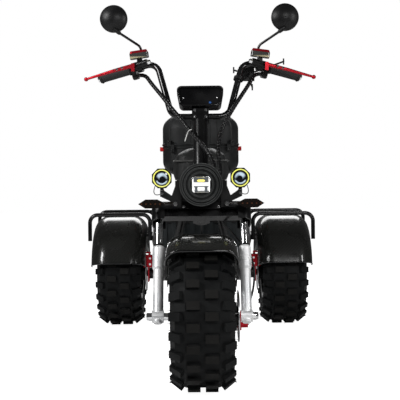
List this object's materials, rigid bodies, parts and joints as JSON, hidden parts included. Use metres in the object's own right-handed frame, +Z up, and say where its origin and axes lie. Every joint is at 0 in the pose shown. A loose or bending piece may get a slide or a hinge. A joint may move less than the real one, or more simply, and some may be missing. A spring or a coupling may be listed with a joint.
{
  "type": "three-wheeled electric scooter",
  "caption": "Fat-tyred electric trike scooter with a raked fork, high handlebar, deck, padded seat, rear top case and domed rear fenders; it rolls, steers and its case opens.",
  "frame": {"origin": "on the ground, in the middle of the footprint's box", "axes": "+Z up, the front looks along -Y, +X is the rider's left"},
  "size_m": [0.978, 1.7884, 1.27],
  "materials": {
    "tyre_rubber": "matte moulded rubber",
    "rim_black": "satin black",
    "disc_steel": "brushed",
    "frame_black": "gloss black powder coat",
    "box_black": "textured",
    "deck_grey": "ribbed rubber",
    "panel_slate": "ribbed slate grey",
    "seat_vinyl": "charcoal vinyl with a piped seam",
    "case_plastic": "fine leather grain",
    "reflector_red": "clear red",
    "spring_red": "gloss red",
    "fork_silver": "satin cast",
    "chrome": "polished",
    "carbon_gloss": "clear coat over a twill weave",
    "shroud_black": "satin black",
    "lens_clear": "clear with a bright reflector",
    "halo_yellow": "yellow-green ring",
    "lens_smoke": "smoked",
    "grip_rubber": "knurled",
    "anodised_red": "red anodised",
    "reservoir_amber": "translucent",
    "mirror_face": "silvered",
    "loom_black": "spiral wrap"
  },
  "bodies": {
    "frame": {"main_frame": "frame_black", "battery_box": "box_black", "floorboard": "deck_grey", "front_panel": "panel_slate", "seat_base": "box_black", "seat_cushion": "seat_vinyl", "case_rack": "frame_black", "top_case_base": "case_plastic", "case_reflectors": "reflector_red", "tail_lamp": "reflector_red", "swing_arm": "frame_black", "axle_housing": "frame_black", "shock_bodies": "fork_silver", "shock_springs": "spring_red", "fender_brackets": "frame_black", "rear_fenders": "carbon_gloss", "fender_rails": "frame_black", "rear_calipers": "anodised_red"},
    "steering": {"steering_stem": "frame_black", "fork_crown": "frame_black", "fork_shroud": "shroud_black", "fork_stanchions": "chrome", "fork_lowers": "fork_silver", "front_axle": "chrome", "front_mudguard": "carbon_gloss", "headlight_housing": "shroud_black", "headlight_lens": "lens_clear", "lamp_brackets": "frame_black", "aux_lamp_housings": "shroud_black", "aux_lamp_rings": "halo_yellow", "aux_lamp_lenses": "lens_clear", "turn_signals": "lens_smoke", "handlebar": "frame_black", "bar_clamp": "frame_black", "grips": "grip_rubber", "brake_levers": "anodised_red", "master_cylinders": "shroud_black", "reservoirs": "reservoir_amber", "reservoir_caps": "anodised_red", "switch_pods": "shroud_black", "mirror_stems": "frame_black", "mirror_shells": "shroud_black", "mirror_glasses": "mirror_face", "dash": "shroud_black", "cable_looms": "loom_black", "phone_cradle": "shroud_black", "bar_ends": "chrome", "front_caliper": "anodised_red", "brake_hose": "loom_black"},
    "front_wheel": {"front_tyre": "tyre_rubber", "front_rim": "rim_black", "front_disc": "disc_steel"},
    "rear_wheel_left": {"rear_tyre_left": "tyre_rubber", "rear_rim_left": "rim_black", "rear_disc_left": "disc_steel"},
    "rear_wheel_right": {"rear_tyre_right": "tyre_rubber", "rear_rim_right": "rim_black", "rear_disc_right": "disc_steel"},
    "case_lid": {"top_case_lid": "case_plastic"}
  },
  "joints": [
    {"name": "steering", "type": "hinge", "parent": "frame", "child": "steering", "pos_m": [0, -0.46951, 0.57834], "axis": [0, 0.4226, 0.9063], "range_deg": [-38, 38]},
    {"name": "front_wheel_spin", "type": "hinge", "parent": "steering", "child": "front_wheel", "pos_m": [0, -0.66575, 0.2285], "axis": [1, 0, 0], "continuous": true},
    {"name": "rear_wheel_left_spin", "type": "hinge", "parent": "frame", "child": "rear_wheel_left", "pos_m": [0.36, 0.63425, 0.2285], "axis": [1, 0, 0], "continuous": true},
    {"name": "rear_wheel_right_spin", "type": "hinge", "parent": "frame", "child": "rear_wheel_right", "pos_m": [-0.36, 0.63425, 0.2285], "axis": [1, 0, 0], "continuous": true},
    {"name": "case_lid_hinge", "type": "hinge", "parent": "frame", "child": "case_lid", "pos_m": [0, 0.52525, 0.7975], "axis": [1, 0, 0], "range_deg": [0, 85]}
  ]
}
